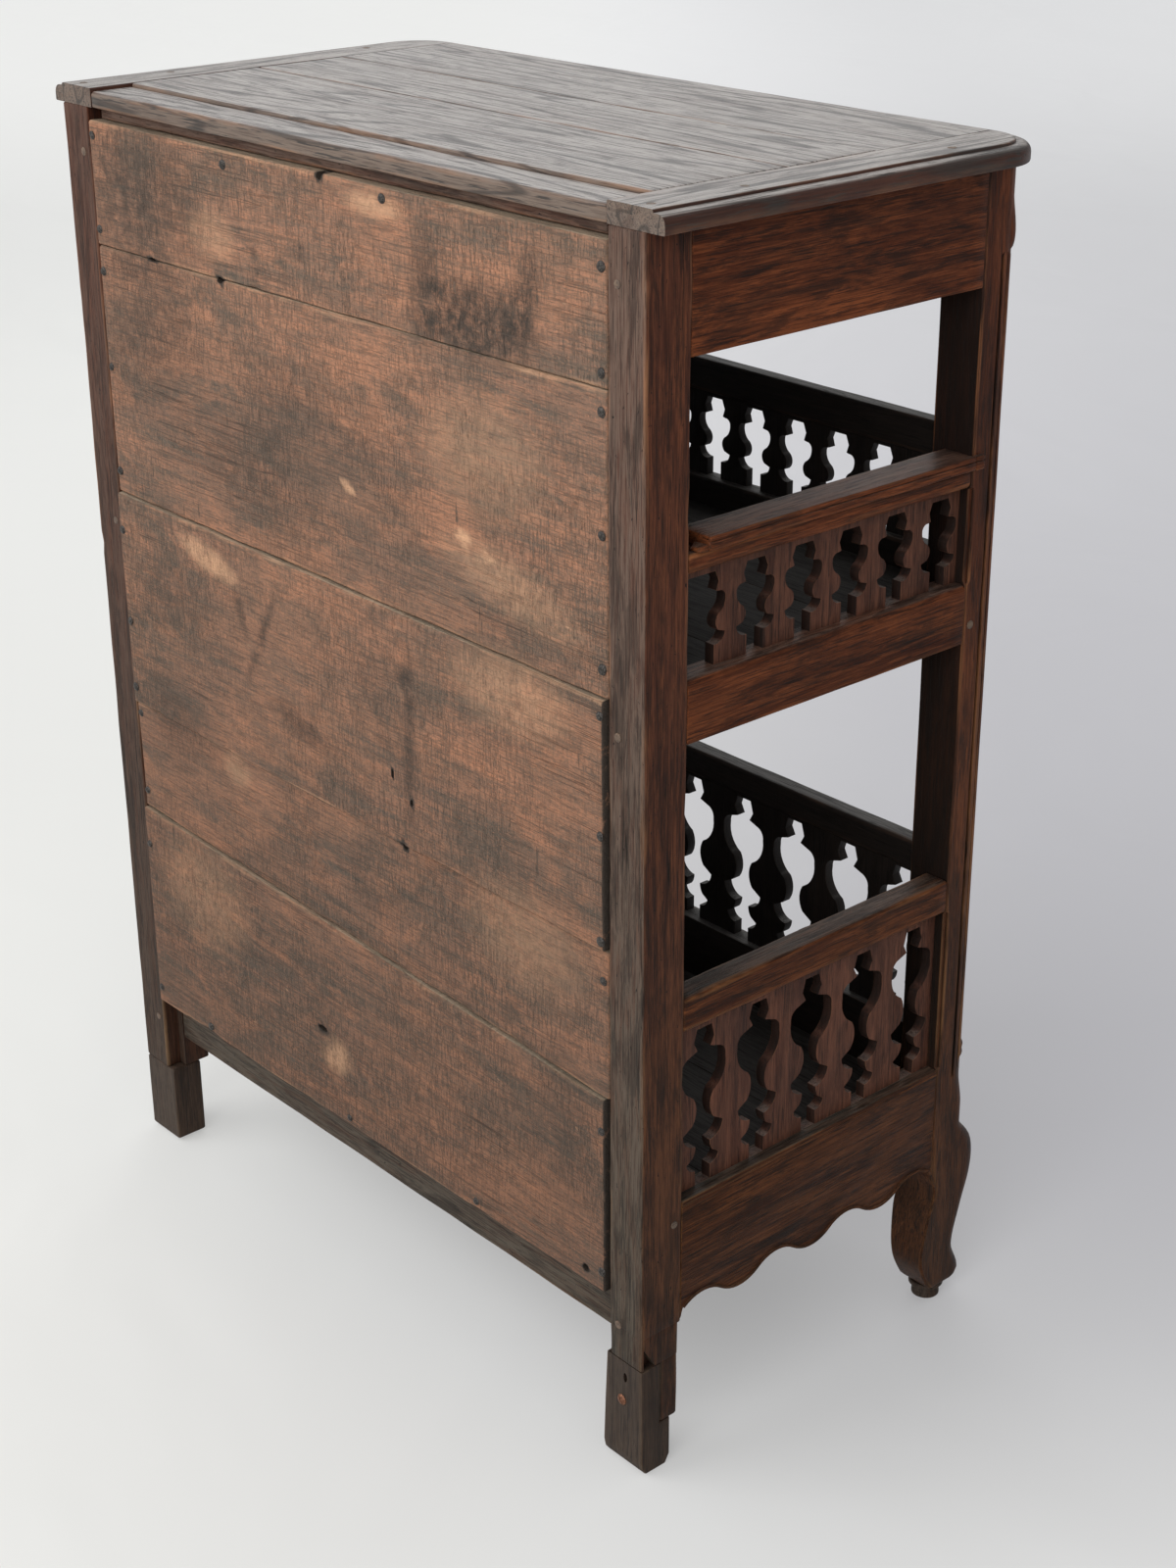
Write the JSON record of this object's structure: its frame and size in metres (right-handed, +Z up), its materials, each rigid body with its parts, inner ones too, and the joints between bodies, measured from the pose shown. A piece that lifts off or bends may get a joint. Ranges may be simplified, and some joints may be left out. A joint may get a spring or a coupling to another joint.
{
  "type": "kitchen dresser",
  "caption": "Free-standing antique oak dresser with shelves behind pierced baluster galleries, a nailed plank back, a moulded board top and cabriole front legs.",
  "frame": {"origin": "on the floor under the middle of the overall box", "axes": "+Z up, -Y towards the open front, +Y towards the plank back, +X towards the right as seen from the front"},
  "size_m": [0.81, 0.4391, 1.1],
  "materials": {
    "dark_oak": "dark stained oak, worn satin wax",
    "gallery_oak": "reddish stained oak, worn edges",
    "shelf_oak": "grey bare oak",
    "back_board_oak": "rough sawn reddish oak with dark patina",
    "top_oak": "grey-brown waxed oak with worn edges",
    "peg_oak": "end grain oak",
    "nail_iron": "dark forged iron",
    "screw_brass": "coppery worn brass",
    "glide_iron": "dark iron"
  },
  "bodies": {
    "root": {"left_rear_post": "dark_oak", "right_rear_post": "dark_oak", "left_front_post": "dark_oak", "right_front_post": "dark_oak", "left_rear_foot": "dark_oak", "right_rear_foot": "dark_oak", "left_front_peg_foot": "dark_oak", "right_front_peg_foot": "dark_oak", "left_frieze_rail": "dark_oak", "right_frieze_rail": "dark_oak", "front_frieze_rail": "dark_oak", "rear_top_rail": "dark_oak", "left_upper_gallery_rail": "dark_oak", "right_upper_gallery_rail": "dark_oak", "left_upper_gallery_cap": "dark_oak", "right_upper_gallery_cap": "dark_oak", "left_shelf_rail": "dark_oak", "right_shelf_rail": "dark_oak", "left_lower_gallery_rail": "dark_oak", "right_lower_gallery_rail": "dark_oak", "left_apron": "dark_oak", "right_apron": "dark_oak", "front_upper_gallery_rail": "dark_oak", "front_shelf_rail": "dark_oak", "front_lower_gallery_rail": "dark_oak", "front_apron": "dark_oak", "rear_shelf_rail": "dark_oak", "rear_bottom_rail": "dark_oak", "left_upper_gallery_panel": "gallery_oak", "right_upper_gallery_panel": "gallery_oak", "left_lower_gallery_panel": "gallery_oak", "right_lower_gallery_panel": "gallery_oak", "front_upper_gallery_panel": "gallery_oak", "front_lower_gallery_panel": "gallery_oak", "upper_shelf_board_front": "shelf_oak", "upper_shelf_board_middle": "shelf_oak", "upper_shelf_board_rear": "shelf_oak", "lower_shelf_board_front": "shelf_oak", "lower_shelf_board_middle": "shelf_oak", "lower_shelf_board_rear": "shelf_oak", "left_upper_shelf_bearer": "shelf_oak", "left_lower_shelf_bearer": "shelf_oak", "right_upper_shelf_bearer": "shelf_oak", "right_lower_shelf_bearer": "shelf_oak", "back_board_1": "back_board_oak", "back_board_2": "back_board_oak", "back_board_3": "back_board_oak", "back_board_4": "back_board_oak", "back_board_5": "back_board_oak", "left_top_clamp": "top_oak", "right_top_clamp": "top_oak", "top_board_front": "top_oak", "top_board_middle": "top_oak", "top_board_rear": "top_oak", "top_back_strip": "top_oak", "joint_pegs": "peg_oak", "top_pegs": "peg_oak", "back_nails": "nail_iron", "foot_screw": "screw_brass", "right_rear_foot_glide": "glide_iron"}
  },
  "joints": []
}
